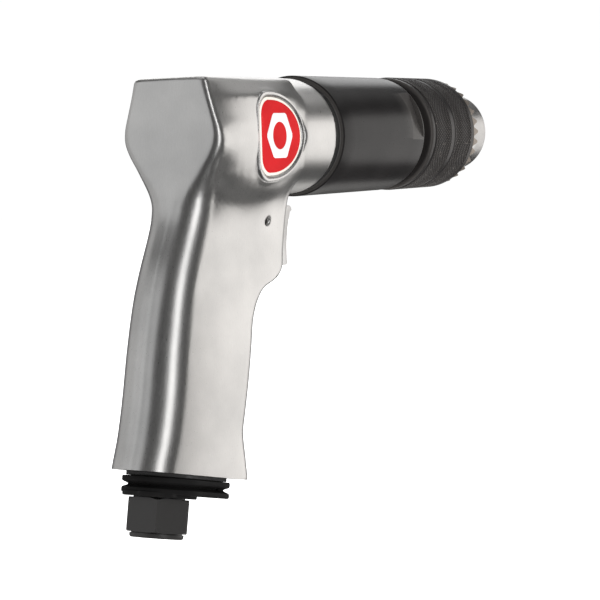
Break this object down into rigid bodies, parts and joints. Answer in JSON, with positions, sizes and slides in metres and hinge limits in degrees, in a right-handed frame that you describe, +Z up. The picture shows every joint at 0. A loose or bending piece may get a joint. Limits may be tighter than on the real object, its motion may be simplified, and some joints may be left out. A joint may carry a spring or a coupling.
{
  "type": "pneumatic pistol-grip drill",
  "caption": "Pistol-grip air drill: cast housing, straight black gear barrel, keyed three-jaw chuck, finger trigger and threaded air inlet under the handle.",
  "frame": {"origin": "middle of the handle, where the hand holds it", "axes": "+X forward along the spindle towards the chuck, +Y to the left side, +Z up"},
  "size_m": [0.2434, 0.0436, 0.1506],
  "materials": {
    "housing_aluminium": "satin, cast and polished",
    "black_steel": "satin black oxide",
    "satin_steel": "turned satin",
    "gear_steel": "ground",
    "spring_steel": "drawn wire",
    "vane_resin": "matt",
    "badge_enamel": "glossy",
    "black_rubber": "matt",
    "grey_felt": "felt",
    "valve_brass": "turned"
  },
  "bodies": {
    "housing": {"motor_housing": "housing_aluminium", "badge_right": "badge_enamel", "badge_left": "badge_enamel", "gear_case": "black_steel", "ring_gear": "gear_steel", "spindle_bearing_rear_outer": "satin_steel", "spindle_bearing_front_outer": "satin_steel", "bearing_spacer": "gear_steel", "front_cap": "black_steel", "dust_seal": "black_rubber", "rear_end_plate": "gear_steel", "front_end_plate": "gear_steel", "motor_cylinder": "satin_steel", "motor_bearing_rear_outer": "satin_steel", "motor_bearing_front_outer": "satin_steel", "trigger_pin": "black_steel", "valve_bushing": "valve_brass", "valve_spring": "spring_steel", "deflector_gasket": "black_rubber", "exhaust_deflector": "black_steel", "inlet_bushing": "black_steel", "inlet_screen": "valve_brass", "muffler_pad": "grey_felt"},
    "spindle": {"output_spindle": "gear_steel", "planet_pin_1": "gear_steel", "planet_pin_2": "gear_steel", "planet_pin_3": "gear_steel", "spindle_bearing_rear_inner": "satin_steel", "spindle_bearing_front_inner": "satin_steel", "chuck_body": "satin_steel", "chuck_screw": "black_steel"},
    "rotor_assembly": {"rotor": "gear_steel", "vane_1": "vane_resin", "vane_2": "vane_resin", "vane_3": "vane_resin", "vane_4": "vane_resin", "vane_5": "vane_resin", "motor_bearing_rear_inner": "satin_steel", "motor_bearing_front_inner": "satin_steel"},
    "planet_1": {"planet_gear_1": "gear_steel"},
    "planet_2": {"planet_gear_2": "gear_steel"},
    "planet_3": {"planet_gear_3": "gear_steel"},
    "key_sleeve": {"chuck_sleeve": "black_steel", "nut_half_1": "gear_steel", "nut_half_2": "gear_steel"},
    "chuck_jaw_1": {"jaw_1": "satin_steel"},
    "chuck_jaw_2": {"jaw_2": "satin_steel"},
    "chuck_jaw_3": {"jaw_3": "satin_steel"},
    "trigger_assembly": {"trigger": "satin_steel", "throttle_valve": "valve_brass"}
  },
  "joints": [
    {"name": "spindle_spin", "type": "hinge", "parent": "housing", "child": "spindle", "pos_m": [0.07095, 0, 0.068], "axis": [1, 0, 0], "continuous": true},
    {"name": "rotor_spin", "type": "hinge", "parent": "housing", "child": "rotor_assembly", "pos_m": [0.07095, 0, 0.068], "axis": [1, 0, 0], "continuous": true},
    {"name": "planet_1_spin", "type": "hinge", "parent": "spindle", "child": "planet_1", "pos_m": [0.08025, 0, 0.07745], "axis": [1, 0, 0], "continuous": true},
    {"name": "planet_2_spin", "type": "hinge", "parent": "spindle", "child": "planet_2", "pos_m": [0.08025, -0.00818, 0.06327], "axis": [1, 0, 0], "continuous": true},
    {"name": "planet_3_spin", "type": "hinge", "parent": "spindle", "child": "planet_3", "pos_m": [0.08025, 0.00818, 0.06327], "axis": [1, 0, 0], "continuous": true},
    {"name": "sleeve_turn", "type": "hinge", "parent": "spindle", "child": "key_sleeve", "pos_m": [0.07095, 0, 0.068], "axis": [-1, 0, 0], "range_deg": [0, 3820]},
    {"name": "jaw_1_slide", "type": "slide", "parent": "spindle", "child": "chuck_jaw_1", "axis": [0.9659, 0, 0.2588], "range_m": [0, 0.02125]},
    {"name": "jaw_2_slide", "type": "slide", "parent": "spindle", "child": "chuck_jaw_2", "axis": [0.9659, -0.2241, -0.1294], "range_m": [0, 0.02125]},
    {"name": "jaw_3_slide", "type": "slide", "parent": "spindle", "child": "chuck_jaw_3", "axis": [0.9659, 0.2241, -0.1294], "range_m": [0, 0.02125]},
    {"name": "trigger_pull", "type": "slide", "parent": "housing", "child": "trigger_assembly", "axis": [-1, 0, 0], "range_m": [0, 0.006], "stiffness_N_per_m": 1200, "springref_m": -0.003, "deforming": ["valve_spring"]}
  ],
  "couplings": [
    {"joint": "rotor_spin", "follows": "spindle_spin", "ratio": 4.5},
    {"joint": "planet_1_spin", "follows": "spindle_spin", "ratio": -2.8},
    {"joint": "planet_2_spin", "follows": "spindle_spin", "ratio": -2.8},
    {"joint": "planet_3_spin", "follows": "spindle_spin", "ratio": -2.8},
    {"joint": "jaw_1_slide", "follows": "sleeve_turn", "m_per_rad": 0.00031831},
    {"joint": "jaw_2_slide", "follows": "sleeve_turn", "m_per_rad": 0.00031831},
    {"joint": "jaw_3_slide", "follows": "sleeve_turn", "m_per_rad": 0.00031831}
  ]
}
